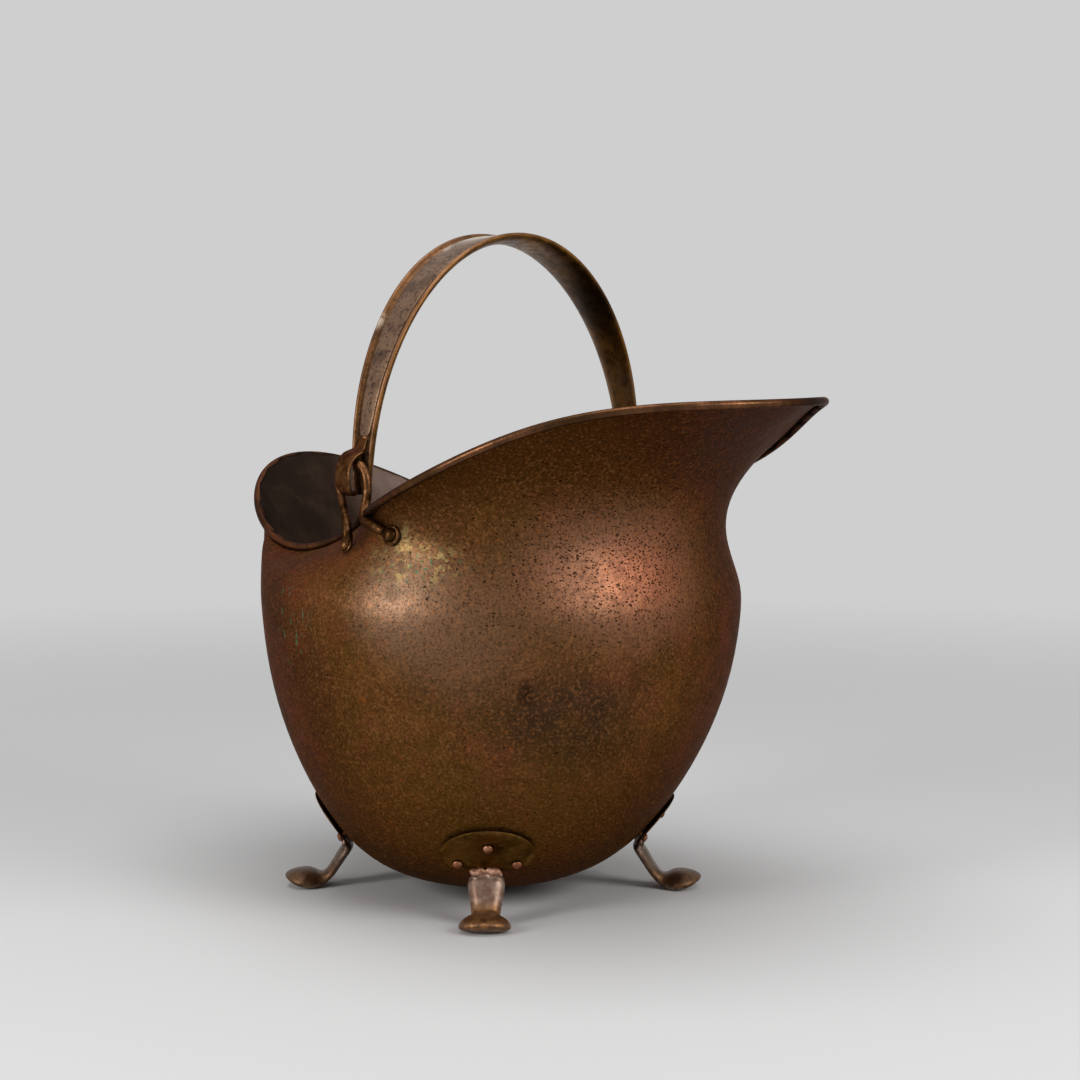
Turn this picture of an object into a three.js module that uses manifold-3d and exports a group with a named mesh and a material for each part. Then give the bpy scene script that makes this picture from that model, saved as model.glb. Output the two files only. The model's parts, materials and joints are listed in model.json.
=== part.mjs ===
// Helmet-shaped copper coal scuttle on four riveted feet, with a swinging bail handle.
// Millimetres. +X is the pouring lip, +Z is up, and the feet stand on z = 0.
import * as THREE from "three";
import { mergeVertices } from "three/addons/utils/BufferGeometryUtils.js";
import Module from "manifold-3d";

const wasm = await Module();
wasm.setup();

// ---------- driving sizes ----------
const SEAT_GAP = 0.35; // left between pieces that rest on each other
const HOLE_CLEARANCE = 0.3; // round a rivet shank
const TAIL_GAP = 0.8; // under a rivet tail, whose flat face meets the curved inside of the sheet

// Bowl: a raised sheet, round in plan up to the belly
const SHEET = 1.3;
const BOTTOM_HEIGHT = 4.2;
const BOTTOM_ROUND = 74; // how far the nearly flat bottom reaches
const KNEE_RADIUS = 120; // where the bottom turns into the side
const KNEE_HEIGHT = 59.5;
const KNEE_RUN = 24.5; // how softly it turns, outwards and up
const KNEE_RISE = 33;
const BELLY_RADIUS = 170.5;
const BELLY_HEIGHT = 208;
const BELLY_RUN = 58; // how far below and above its widest line the belly stays upright
const WAIST_RUN = 36;
const BOTTOM_SET_BACK = 15; // the bowl's foot stands behind its belly
const SET_BACK_POWER = 1.8; // 1 would be a straight lean

// Mouth, front to back in six equal turns of 30 degrees
const RIM_RADIUS = [260, 223, 186.5, 127, 131, 182.5, 223];
const RIM_HEIGHT = [356, 348.5, 306.5, 272, 247.5, 264.5, 304];
// Where the wall aims before it turns out to the rim
const THROAT_RADIUS = [105, 117, 129, 138, 162, 184, 176];
const THROAT_HEIGHT = [295, 276, 267.5, 256, 236, 246.5, 261.5];

// Rolled edge round a wire
const ROLL_BORE = 1.8;
const WIRE_RADIUS = 1.35;
const ROLL_TURN = 320; // degrees of turn in the rolled sheet

// Ear brackets, forged from round bar
const EAR_HEIGHT = 298; // centre of the eye, which is the handle's pivot
const EYE_CLEARANCE = 1.4; // between the eye's bar and the rolled edge
const EYE_RADIUS = 14.5;
const EAR_BAR = 5.2;
const EAR_TILT = 17; // degrees that the bracket leans with the rim
const EAR_NECK = 5.2; // half the distance between the bars at the neck
const EAR_NECK_DROP = 21;
const EAR_LEG_BULGE = 3.6; // how far the legs stand off between the neck and the pads
const EAR_PAD_SPREAD = 18.5;
const EAR_PAD_DROP = 39;
const EAR_PAD_RADIUS = 8.2;
const EAR_PAD_THICKNESS = 3;
const EAR_PAD_GAP = 1.45; // under the middle of a flat pad, on the curved wall

// Bail handle: a channel with rolled edges, open side up
const BAIL_SPREAD = 129; // from the middle plane to the channel at the pivot
const BAIL_RISE = 167;
const BAIL_HALF_WIDTH = 21;
const BAIL_END_HALF_WIDTH = 8.8;
const BAIL_DEPTH = 6.4;
const BAIL_SHEET = 1.7;
const BAIL_BEAD = 1.9;
const BAIL_TAIL = 9; // below the pivot
const STRIP_THICKNESS = 1.2;
const STRIP_END_RISE = 30; // above the pivot
const HOOK_THICKNESS = 2.2;

// Feet
const FOOT_ANGLES = { front_right: -45, front_left: 45, rear_left: 135, rear_right: -135 };
const PLATE_HEIGHT = 50; // widest line of the plate above the floor
const PLATE_HALF_WIDTH = 32;
const PLATE_RISE = 25;
const PLATE_DROP = 19;
const PLATE_THICKNESS = 2;
const PLATE_STAND_OFF = 1.2; // how far the plate's edge stands off the bowl
const LEG_DROP = 21; // the leg's root below the plate's widest line, along the plate
const LEG_HALF_WIDTH = 12.3;
const ANKLE_HALF_WIDTH = 8.2;
const TOE_HALF_WIDTH = 17;
const TOE_REACH = 49;
const LEG_GROOVE = 0.22; // share of the leg's thickness taken by its centre seam

// Rivets
const EAR_RIVET = { head: 5.8, rise: 3.8, shank: 2.4, tail: 4.6, tailRise: 1.6, sides: 10 };
const FOOT_RIVET = { head: 3.1, rise: 2.4, shank: 1.5, tail: 2.7, tailRise: 1.1, sides: 8 };
const FOOT_RIVET_PLACES = { top: [0, 8], left: [-19.5, -9], right: [19.5, -9] };

// How finely the sheet is divided
const COLUMNS = 54;
const BOWL_STEPS = [0.12, 0.32, 0.52, 0.7, 0.85, 1];
const SIDE_STEPS = [0.2, 0.45, 0.72, 1];
const WALL_ROWS = 7;
const ROLL_STEPS = 7;

// Sizes that follow
const ROLL_REACH = 2 * ROLL_BORE + SHEET; // from the wall to the outside of the rolled edge
const EAR_SPREAD = RIM_RADIUS[3] + ROLL_REACH + EYE_CLEARANCE + EAR_BAR / 2;
const EAR_STACK = EAR_PAD_GAP + EAR_PAD_THICKNESS; // from the sheet to the pad's outer face

// ---------- materials ----------
function metal(color, roughness) {
  return new THREE.MeshStandardMaterial({ color, roughness, metalness: 0.85 });
}
const agedCopper = metal("#6b4326", 0.48);
const handleCopper = metal("#76502f", 0.42);
const forgedBrass = metal("#7a5030", 0.4);
const ironWire = metal("#3a332c", 0.6);
const footCopper = metal("#6a4a3c", 0.45);
const plateBrass = metal("#5f4524", 0.45);

// ---------- solids ----------
// Closed surface through rings of points that share a count, each four-sided cell divided on its
// shorter diagonal. The ends are closed with a fan, or with the triangles of a flat outline where
// the section isn't star-shaped.
function skin(rings, outline = null) {
  const n = rings[0].length;
  const points = rings.flat();
  const faces = [];
  for (let j = 0; j + 1 < rings.length; j++) {
    for (let i = 0; i < n; i++) {
      const a = j * n + i;
      const b = j * n + ((i + 1) % n);
      if (points[a].distanceTo(points[b + n]) < points[b].distanceTo(points[a + n])) {
        faces.push([a, b, b + n], [a, b + n, a + n]);
      } else {
        faces.push([a, b, a + n], [b, b + n, a + n]);
      }
    }
  }
  const last = (rings.length - 1) * n;
  if (outline) {
    for (const [a, b, c] of THREE.ShapeUtils.triangulateShape(outline, [])) {
      faces.push([c, b, a], [last + a, last + b, last + c]);
    }
  } else {
    const middle = (ring) =>
      ring.reduce((sum, p) => sum.add(p), new THREE.Vector3()).divideScalar(n);
    const first = points.push(middle(rings[0])) - 1;
    const final = points.push(middle(rings[rings.length - 1])) - 1;
    for (let i = 0; i < n; i++) {
      const next = (i + 1) % n;
      faces.push([first, next, i], [final, last + i, last + next]);
    }
  }
  const geometry = new THREE.BufferGeometry().setFromPoints(points);
  geometry.setIndex(faces.flat());
  return facingOut(geometry);
}

function facingOut(geometry) {
  const at = geometry.getAttribute("position");
  const index = geometry.index.array;
  const corner = (k) => new THREE.Vector3().fromBufferAttribute(at, index[k]);
  let volume = 0;
  for (let k = 0; k < index.length; k += 3) {
    volume += corner(k).dot(corner(k + 1).cross(corner(k + 2)));
  }
  if (volume < 0) {
    for (let k = 0; k < index.length; k += 3) {
      [index[k], index[k + 1]] = [index[k + 1], index[k]];
    }
  }
  return geometry;
}

function solidOf(geometry) {
  const bare = geometry.clone();
  bare.deleteAttribute("normal");
  bare.deleteAttribute("uv");
  const merged = mergeVertices(bare, 1e-3);
  const corners = merged.index.array;
  const kept = [];
  for (let k = 0; k < corners.length; k += 3) {
    const [a, b, c] = corners.subarray(k, k + 3);
    if (a !== b && b !== c && c !== a) kept.push(a, b, c);
  }
  return new wasm.Manifold(
    new wasm.Mesh({
      numProp: 3,
      vertProperties: merged.getAttribute("position").array,
      triVerts: new Uint32Array(kept),
    }),
  );
}

function geometryOf(solid) {
  const mesh = solid.getMesh();
  const geometry = new THREE.BufferGeometry();
  geometry.setAttribute("position", new THREE.BufferAttribute(mesh.vertProperties, 3));
  geometry.setIndex(new THREE.BufferAttribute(mesh.triVerts, 1));
  return geometry;
}

function cut(geometry, tools) {
  let solid = solidOf(geometry);
  for (const tool of tools) solid = solid.subtract(solidOf(tool));
  return geometryOf(solid);
}

// Turns +Z to a direction and moves the origin to a point
function poseTo(point, direction) {
  const turn = new THREE.Quaternion().setFromUnitVectors(new THREE.Vector3(0, 0, 1), direction);
  return new THREE.Matrix4().compose(point, turn, new THREE.Vector3(1, 1, 1));
}

function piece(name, geometry, material) {
  const flat = geometry.index ? geometry.toNonIndexed() : geometry;
  flat.computeVertexNormals();
  const mesh = new THREE.Mesh(flat, material);
  mesh.name = name;
  return mesh;
}

// ---------- the sheet's form ----------
const RADIAN = Math.PI / 180;

// Even wave through stations that are equally spaced from the front to the back
function around(stations, angle) {
  const last = stations.length - 1;
  const half = (k) => (k === 0 || k === last ? 0.5 : 1);
  let sum = 0;
  for (let wave = 0; wave <= last; wave++) {
    for (let k = 0; k <= last; k++) {
      const weight = half(wave) * half(k) * Math.cos((Math.PI * wave * k) / last);
      sum += weight * stations[k] * Math.cos(wave * angle);
    }
  }
  return (sum * 2) / last;
}

const bottomCurve = new THREE.CubicBezierCurve(
  new THREE.Vector2(0, BOTTOM_HEIGHT),
  new THREE.Vector2(BOTTOM_ROUND, BOTTOM_HEIGHT),
  new THREE.Vector2(KNEE_RADIUS - KNEE_RUN, KNEE_HEIGHT - KNEE_RISE),
  new THREE.Vector2(KNEE_RADIUS, KNEE_HEIGHT),
);
const sideCurve = new THREE.CubicBezierCurve(
  new THREE.Vector2(KNEE_RADIUS, KNEE_HEIGHT),
  new THREE.Vector2(KNEE_RADIUS + KNEE_RUN, KNEE_HEIGHT + KNEE_RISE),
  new THREE.Vector2(BELLY_RADIUS, BELLY_HEIGHT - BELLY_RUN),
  new THREE.Vector2(BELLY_RADIUS, BELLY_HEIGHT),
);

// Outer face of the sheet. level runs 0..1 over the bottom, 1..2 up the side, 2..3 to the rim.
function wall(angle, level) {
  let at;
  if (level <= 1) {
    at = bottomCurve.getPoint(level);
  } else if (level <= 2) {
    at = sideCurve.getPoint(level - 1);
  } else {
    at = new THREE.CubicBezierCurve(
      new THREE.Vector2(BELLY_RADIUS, BELLY_HEIGHT),
      new THREE.Vector2(BELLY_RADIUS, BELLY_HEIGHT + WAIST_RUN),
      new THREE.Vector2(around(THROAT_RADIUS, angle), around(THROAT_HEIGHT, angle)),
      new THREE.Vector2(around(RIM_RADIUS, angle), around(RIM_HEIGHT, angle)),
    ).getPoint(level - 2);
  }
  const setBack = BOTTOM_SET_BACK * Math.max(0, 1 - at.y / BELLY_HEIGHT) ** SET_BACK_POWER;
  return new THREE.Vector3(at.x * Math.cos(angle) - setBack, at.x * Math.sin(angle), at.y);
}

function wallFrame(angle, level) {
  const step = 1e-3;
  const point = wall(angle, level);
  const along = wall(angle + step, level).sub(wall(angle - step, level)).normalize();
  const low = level > 3 - step ? level - step : level;
  const up = wall(angle, low + step).sub(wall(angle, low)).normalize();
  const out = along.clone().cross(up).normalize();
  return { point, along, up: out.clone().cross(along), out };
}

// The place on the wall where two chosen measures of a point come out at zero
function seek(angle, level, miss) {
  const step = 1e-4;
  for (let pass = 0; pass < 20; pass++) {
    const [a, b] = miss(wall(angle, level));
    const [a1, b1] = miss(wall(angle + step, level));
    const [a2, b2] = miss(wall(angle, level + step));
    const [aa, ba, al, bl] = [a1 - a, b1 - b, a2 - a, b2 - b].map((d) => d / step);
    const size = aa * bl - al * ba;
    angle -= (a * bl - al * b) / size;
    level -= (aa * b - a * ba) / size;
  }
  return wallFrame(angle, level);
}

// ---------- rivets ----------
// Along the shank, 0 is the outer face of the sheet and stack is the outer face of the upper piece
function rivetGeometry(size, stack) {
  const seat = stack + SEAT_GAP;
  const tail = -SHEET - TAIL_GAP;
  const profile = [
    [0, tail - size.tailRise],
    [size.tail * 0.8, tail - size.tailRise],
    [size.tail, tail],
    [size.shank, tail],
    [size.shank, seat],
    [size.head, seat],
    [size.head * 0.9, seat + size.rise * 0.5],
    [size.head * 0.55, seat + size.rise * 0.88],
    [0, seat + size.rise],
  ].map(([radius, height]) => new THREE.Vector2(radius, height));
  return new THREE.LatheGeometry(profile, size.sides).rotateX(Math.PI / 2);
}

function rivetHole(size, frame) {
  const hole = new THREE.CylinderGeometry(
    size.shank + HOLE_CLEARANCE,
    size.shank + HOLE_CLEARANCE,
    24,
    8,
  );
  return hole.rotateX(Math.PI / 2).applyMatrix4(poseTo(frame.point, frame.out));
}

// Clears what lies over the upper piece where the rivet's head sits
function rivetSeat(size, stack, frame) {
  const depth = 12;
  const radius = size.head + HOLE_CLEARANCE;
  const seat = new THREE.CylinderGeometry(radius, radius, depth, 12);
  seat.rotateX(Math.PI / 2).translate(0, 0, stack + depth / 2);
  return seat.applyMatrix4(poseTo(frame.point, frame.out));
}

function rivet(name, size, stack, frame, material) {
  const mesh = piece(name, rivetGeometry(size, stack), material);
  mesh.applyMatrix4(poseTo(frame.point, frame.out));
  return mesh;
}

// ---------- body: sheet, rolled edge and wire ----------
const columnAngles = Array.from({ length: COLUMNS }, (_, i) => (i * 2 * Math.PI) / COLUMNS);

function sheetLevels() {
  const levels = [...BOWL_STEPS, ...SIDE_STEPS.map((t) => 1 + t)];
  for (let row = 1; row <= WALL_ROWS; row++) levels.push(2 + row / WALL_ROWS);
  return levels;
}

// A point of the rolled edge: turn 0 is on the wall, and it runs over the top and outwards
function onRoll(angle, radius, turn) {
  const { point, out, up } = wallFrame(angle, 3);
  const reach = ROLL_BORE - radius * Math.cos(turn * RADIAN);
  return point.addScaledVector(out, reach).addScaledVector(up, radius * Math.sin(turn * RADIAN));
}

function sheetGeometry() {
  const levels = sheetLevels();
  const turns = Array.from({ length: ROLL_STEPS }, (_, k) => ((k + 1) * ROLL_TURN) / ROLL_STEPS);
  const ring = (place) => columnAngles.map(place);
  const outer = levels.map((level) => ring((angle) => wall(angle, level)));
  const rollIn = turns.map((turn) => ring((angle) => onRoll(angle, ROLL_BORE, turn)));
  const rollOut = turns.map((turn) => ring((angle) => onRoll(angle, ROLL_BORE + SHEET, turn)));
  const inner = levels.map((level) =>
    ring((angle) => {
      const { point, out } = wallFrame(angle, level);
      return point.addScaledVector(out, -SHEET);
    }),
  );
  return skin([...outer, ...rollIn, ...rollOut.reverse(), ...inner.reverse()]);
}

function wireGeometry() {
  const sides = 5;
  const rings = columnAngles.map((angle) =>
    Array.from({ length: sides }, (_, k) => {
      const { point, out, up } = wallFrame(angle, 3);
      const turn = (k * 2 * Math.PI) / sides;
      point.addScaledVector(out, ROLL_BORE + WIRE_RADIUS * Math.cos(turn));
      return point.addScaledVector(up, WIRE_RADIUS * Math.sin(turn));
    }),
  );
  const points = rings.flat();
  const faces = [];
  for (let j = 0; j < COLUMNS; j++) {
    for (let k = 0; k < sides; k++) {
      const a = j * sides + k;
      const b = j * sides + ((k + 1) % sides);
      const c = ((j + 1) % COLUMNS) * sides + ((k + 1) % sides);
      const d = ((j + 1) % COLUMNS) * sides + k;
      faces.push(a, b, c, a, c, d);
    }
  }
  const geometry = new THREE.BufferGeometry().setFromPoints(points);
  geometry.setIndex(faces);
  return facingOut(geometry);
}

// ---------- ears ----------
// A point of the bracket's own plane (along the rim, up), leaned with the rim
function earPlane(side, along, up) {
  const tilt = EAR_TILT * RADIAN;
  const x = along * Math.cos(tilt) - up * Math.sin(tilt);
  const z = along * Math.sin(tilt) + up * Math.cos(tilt);
  return new THREE.Vector3(x, side * EAR_SPREAD, EAR_HEIGHT + z);
}

function earPadFrame(side, end) {
  const aim = earPlane(side, end * EAR_PAD_SPREAD, -EAR_PAD_DROP);
  return seek((side * Math.PI) / 2, 2.7, (p) => [p.x - aim.x, p.z - aim.z]);
}

// Half the width of the mouth, to the outside of the rolled edge, at a distance forward
function rimSpread(x) {
  let front = 0;
  let back = Math.PI;
  for (let pass = 0; pass < 40; pass++) {
    const middle = (front + back) / 2;
    if (wall(middle, 3).x > x) front = middle;
    else back = middle;
  }
  return wall(front, 3).y + ROLL_REACH;
}

function earGeometry(side) {
  const pads = [-1, 1].map((end) => earPadFrame(side, end));
  const padMiddle = EAR_PAD_GAP + EAR_PAD_THICKNESS / 2;
  const barSeat = 2 * SEAT_GAP + EAR_BAR / 2;
  const neck = (end) => {
    const point = earPlane(side, end * EAR_NECK, -EAR_NECK_DROP);
    const clear = rimSpread(point.x) + EAR_BAR / 2 + EYE_CLEARANCE;
    return point.setY(side * Math.max(clear, EAR_SPREAD));
  };
  // The bar runs into the pad beside the rivet's head
  const root = pads.map(({ point, out }, k) => {
    const seat = point.clone().addScaledVector(out, barSeat);
    const towards = neck(2 * k - 1).sub(seat).projectOnPlane(out).normalize();
    return seat.addScaledVector(towards, EAR_RIVET.head);
  });
  const leg = (end) => {
    const [from, to] = [neck(end), root[(end + 1) / 2]];
    const point = from.clone().lerp(to, 0.55);
    point.y = Math.max(Math.abs(from.y), Math.abs(to.y)) * side;
    return point.addScaledVector(pads[0].out, EAR_LEG_BULGE);
  };
  const eye = [];
  for (let turn = 240; turn >= -60; turn -= 30) {
    const angle = turn * RADIAN;
    eye.push(earPlane(side, EYE_RADIUS * Math.cos(angle), EYE_RADIUS * Math.sin(angle)));
  }
  const path = new THREE.CatmullRomCurve3([
    root[0],
    leg(-1),
    neck(-1),
    ...eye,
    neck(1),
    leg(1),
    root[1],
  ]);
  const section = new THREE.Shape().absarc(0, 0, EAR_BAR / 2, 0, 2 * Math.PI);
  const bar = new THREE.ExtrudeGeometry(section, {
    extrudePath: path,
    steps: 36,
    curveSegments: 4,
    bevelEnabled: false,
  });
  let solid = solidOf(bar);
  for (const frame of pads) {
    const disc = new THREE.CylinderGeometry(
      EAR_PAD_RADIUS * 0.9,
      EAR_PAD_RADIUS,
      EAR_PAD_THICKNESS,
      14,
    );
    disc.rotateX(Math.PI / 2);
    const middle = frame.point.clone().addScaledVector(frame.out, padMiddle);
    solid = solid.add(solidOf(disc.applyMatrix4(poseTo(middle, frame.out))));
    solid = solid.subtract(solidOf(rivetHole(EAR_RIVET, frame)));
    solid = solid.subtract(solidOf(rivetSeat(EAR_RIVET, EAR_STACK, frame)));
  }
  return { geometry: geometryOf(solid), pads };
}

// ---------- bail handle ----------
// Middle line of the channel: turn 0 is one end at the pivot's height, 180 the other.
// Past these the channel hangs straight down.
function bailFrame(turn) {
  const angle = turn * RADIAN;
  const side = Math.cos(angle) > 0 ? 1 : -1;
  const rise = BAIL_RISE * Math.sin(angle);
  if (rise < 0) {
    return {
      point: new THREE.Vector3(0, side * BAIL_SPREAD, EAR_HEIGHT + rise),
      out: new THREE.Vector3(0, side, 0),
    };
  }
  const spread = BAIL_SPREAD * Math.cos(angle);
  return {
    point: new THREE.Vector3(0, spread, EAR_HEIGHT + rise),
    out: new THREE.Vector3(0, spread / BAIL_SPREAD ** 2, rise / BAIL_RISE ** 2).normalize(),
  };
}

function bailHalfWidth(turn) {
  const share = Math.max(0, Math.sin(turn * RADIAN));
  const width = BAIL_END_HALF_WIDTH + (BAIL_HALF_WIDTH - BAIL_END_HALF_WIDTH) * share;
  const below = Math.max(0, -BAIL_RISE * Math.sin(turn * RADIAN)) / BAIL_TAIL;
  return width - BAIL_END_HALF_WIDTH * 0.35 * below ** 2;
}

function channelSection(half) {
  const inner = half - 2 * BAIL_BEAD;
  const arc = (cx, rx, ry, from, to, steps, skip = 0) =>
    Array.from({ length: steps + 1 - 2 * skip }, (_, k) => {
      const angle = (from + ((to - from) * (k + skip)) / steps) * RADIAN;
      return new THREE.Vector2(cx + rx * Math.cos(angle), ry * Math.sin(angle));
    });
  return [
    ...arc(0, half, BAIL_DEPTH, 180, 360, 8),
    ...arc(half - BAIL_BEAD, BAIL_BEAD, BAIL_BEAD, 0, 180, 4, 1),
    ...arc(0, inner, BAIL_DEPTH - BAIL_SHEET, 360, 180, 6),
    ...arc(BAIL_BEAD - half, BAIL_BEAD, BAIL_BEAD, 0, 180, 4, 1),
  ];
}

function bailLoft(turns, section) {
  const rings = turns.map((turn) => {
    const { point, out } = bailFrame(turn);
    return section(bailHalfWidth(turn)).map(
      ({ x, y }) => new THREE.Vector3(x, 0, 0).add(point).addScaledVector(out, y),
    );
  });
  return skin(rings, section(BAIL_HALF_WIDTH));
}

function turnOfRise(rise) {
  return Math.asin(rise / BAIL_RISE) / RADIAN;
}

function evenTurns(from, steps) {
  return Array.from({ length: steps + 1 }, (_, k) => from + ((180 - 2 * from) * k) / steps);
}

function channelGeometry() {
  const tail = turnOfRise(BAIL_TAIL);
  const ends = [tail, tail * 0.5];
  return bailLoft(
    [...ends.map((t) => -t), ...evenTurns(0, 22), ...ends.reverse().map((t) => 180 + t)],
    channelSection,
  );
}

function stripSection(half) {
  const reach = (half - 2 * BAIL_BEAD) * 0.84;
  const floor = -STRIP_THICKNESS - 0.1;
  return [
    [-reach, floor],
    [0, floor - 0.3],
    [reach, floor],
    [reach, floor + STRIP_THICKNESS],
    [0, floor + STRIP_THICKNESS + 0.3],
    [-reach, floor + STRIP_THICKNESS],
  ].map(([x, y]) => new THREE.Vector2(x, y));
}

function stripGeometry() {
  return bailLoft(evenTurns(turnOfRise(STRIP_END_RISE), 20), stripSection);
}

// The hook leaves the channel's trough, passes over the eye's bar and curls back under it.
// Its route is (outwards from the eye's plane, up from the pivot), with half its width.
function hookGeometry(side) {
  const barTop = EYE_RADIUS + EAR_BAR / 2 + SEAT_GAP + HOOK_THICKNESS / 2;
  const trough = BAIL_SPREAD - EAR_SPREAD - (BAIL_DEPTH - BAIL_SHEET) / 2;
  const inEye = EYE_RADIUS - EAR_BAR / 2;
  const route = [
    [trough - 0.6, STRIP_END_RISE - 1, 3.4],
    [trough + 1.2, barTop + 5.4, 4.2],
    [trough * 0.5, barTop + 2.2, 6.6],
    [0.4, barTop + 0.1, 8],
    [5, EYE_RADIUS + 1, 7],
    [8.4, inEye - 2, 6.6],
    [9, 1, 6.6],
    [6, -5.8, 5],
    [0.5, -8.2, 2.6],
    [-2.6, -7.6, 0.8],
  ];
  const middle = new THREE.CatmullRomCurve3(
    route.map(([out, up]) => new THREE.Vector3(0, side * (EAR_SPREAD + out), EAR_HEIGHT + up)),
  );
  const width = new THREE.SplineCurve(
    route.map(([, , half], k) => new THREE.Vector2(k, half)),
  );
  const steps = 16;
  const across = new THREE.Vector3(1, 0, 0);
  const rings = Array.from({ length: steps + 1 }, (_, k) => {
    const share = k / steps;
    const point = middle.getPoint(share);
    const normal = middle.getTangent(share).cross(across).normalize();
    const half = width.getPoint(share).y;
    return Array.from({ length: 8 }, (_, i) => {
      const angle = (i * Math.PI) / 4;
      const thick = (HOOK_THICKNESS / 2) * Math.sin(angle);
      return point
        .clone()
        .addScaledVector(across, half * Math.cos(angle))
        .addScaledVector(normal, thick);
    });
  });
  return skin(rings);
}

// ---------- feet ----------
// A point of the bowl, across and up from the plate's widest line
function onPlate(angle, across, up) {
  const slope = wallFrame(angle, plateLevel).up;
  const height = PLATE_HEIGHT + up * slope.z;
  const level = levelOfHeight(height);
  const radius = level <= 1 ? bottomCurve.getPoint(level).x : sideCurve.getPoint(level - 1).x;
  return wallFrame(angle + across / radius, level);
}

function levelOfHeight(height) {
  let low = 0;
  let high = 2;
  for (let pass = 0; pass < 40; pass++) {
    const middle = (low + high) / 2;
    if (wall(0, middle).z < height) low = middle;
    else high = middle;
  }
  return low;
}
const plateLevel = levelOfHeight(PLATE_HEIGHT);

function plateGeometry(angle) {
  const sides = 20;
  const face = (share, lift) =>
    Array.from({ length: sides }, (_, k) => {
      const turn = (k * 2 * Math.PI) / sides;
      const [c, s] = [Math.cos(turn), Math.sin(turn)];
      const across = s > 0 ? c : Math.sign(c) * Math.abs(c) ** 0.8;
      const up = s > 0 ? PLATE_RISE * s : PLATE_DROP * s;
      const { point, out } = onPlate(angle, share * PLATE_HALF_WIDTH * across, share * up);
      return point.addScaledVector(out, SEAT_GAP + PLATE_STAND_OFF * share ** 2 + lift);
    });
  const shares = [0.5, 1];
  return skin([
    ...shares.map((share) => face(share, PLATE_THICKNESS)),
    ...shares.reverse().map((share) => face(share, 0)),
  ]);
}

// Leg and toe in one forging. Its origin is the root on the plate, +X points away from the bowl.
function legGeometry(rootHeight, rootSlope) {
  const stations = [
    { out: 0, up: 0, half: LEG_HALF_WIDTH, thick: 7.5, groove: LEG_GROOVE },
    { out: 7, up: 15 - rootHeight + 6, half: LEG_HALF_WIDTH * 0.92, thick: 7, groove: LEG_GROOVE },
    { out: 13, up: 10.5 - rootHeight, half: ANKLE_HALF_WIDTH + 0.8, thick: 6.5, groove: LEG_GROOVE },
    { out: 19, up: 4.2 - rootHeight, half: ANKLE_HALF_WIDTH + 0.4, thick: 6.6, groove: 0.12 },
    { out: 25.5, up: 1.9 - rootHeight, half: TOE_HALF_WIDTH * 0.78, thick: 10, groove: 0 },
    { out: 33.3, up: 2.6 - rootHeight, half: TOE_HALF_WIDTH, thick: 11.6, groove: 0 },
    { out: 41.3, up: 4.8 - rootHeight, half: TOE_HALF_WIDTH * 0.86, thick: 9, groove: 0 },
    { out: 46.3, up: 6.8 - rootHeight, half: TOE_HALF_WIDTH * 0.55, thick: 5.5, groove: 0 },
    { out: TOE_REACH, up: 8 - rootHeight, half: TOE_HALF_WIDTH * 0.2, thick: 2, groove: 0 },
  ];
  const path = new THREE.SplineCurve(stations.map(({ out, up }) => new THREE.Vector2(out, up)));
  const count = stations.length - 1;
  const sides = 16;
  const rings = stations.map(({ half, thick, groove }, k) => {
    const at = path.getPoint(k / count);
    const tangent = path.getTangent(k / count);
    const normal = new THREE.Vector2(-tangent.y, tangent.x);
    if (k === 0) normal.copy(rootSlope);
    return Array.from({ length: sides }, (_, i) => {
      const angle = (i * 2 * Math.PI) / sides;
      const across = half * Math.cos(angle);
      const seam = Math.abs(Math.cos(angle)) < 0.1 ? 1 - groove : 1;
      const swell = Math.sin(angle) > 0 ? seam : 0.28;
      const lift = thick * swell * Math.sin(angle);
      return new THREE.Vector3(at.x + normal.x * lift, across, at.y + normal.y * lift);
    });
  });
  const floor = new THREE.BoxGeometry(200, 200, 20);
  floor.translate(0, 0, -rootHeight - 10);
  return cut(skin(rings), [floor]);
}

// ---------- assembly ----------
const scuttle = new THREE.Group();
const rivetHoles = [];

for (const [foot, degrees] of Object.entries(FOOT_ANGLES)) {
  const angle = degrees * RADIAN;
  const holes = [];
  for (const [spot, [across, up]] of Object.entries(FOOT_RIVET_PLACES)) {
    const frame = onPlate(angle, across, up);
    const edge = Math.hypot(across / PLATE_HALF_WIDTH, up / (up > 0 ? PLATE_RISE : PLATE_DROP));
    const stack = SEAT_GAP + PLATE_THICKNESS + PLATE_STAND_OFF * edge ** 2;
    holes.push(rivetHole(FOOT_RIVET, frame));
    scuttle.add(rivet(`rivet_${foot}_${spot}`, FOOT_RIVET, stack, frame, plateBrass));
  }
  rivetHoles.push(...holes);
  scuttle.add(piece(`foot_plate_${foot}`, cut(plateGeometry(angle), holes), plateBrass));

  const root = onPlate(angle, 0, -LEG_DROP);
  const stand = PLATE_STAND_OFF * (LEG_DROP / PLATE_DROP) ** 2;
  root.point.addScaledVector(root.out, 2 * SEAT_GAP + PLATE_THICKNESS + stand);
  const radial = new THREE.Vector2(Math.cos(angle), Math.sin(angle));
  const slope = new THREE.Vector2(root.up.x * radial.x + root.up.y * radial.y, root.up.z);
  const leg = piece(`foot_leg_${foot}`, legGeometry(root.point.z, slope), footCopper);
  leg.position.copy(root.point);
  leg.rotation.z = angle;
  scuttle.add(leg);
}

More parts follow.
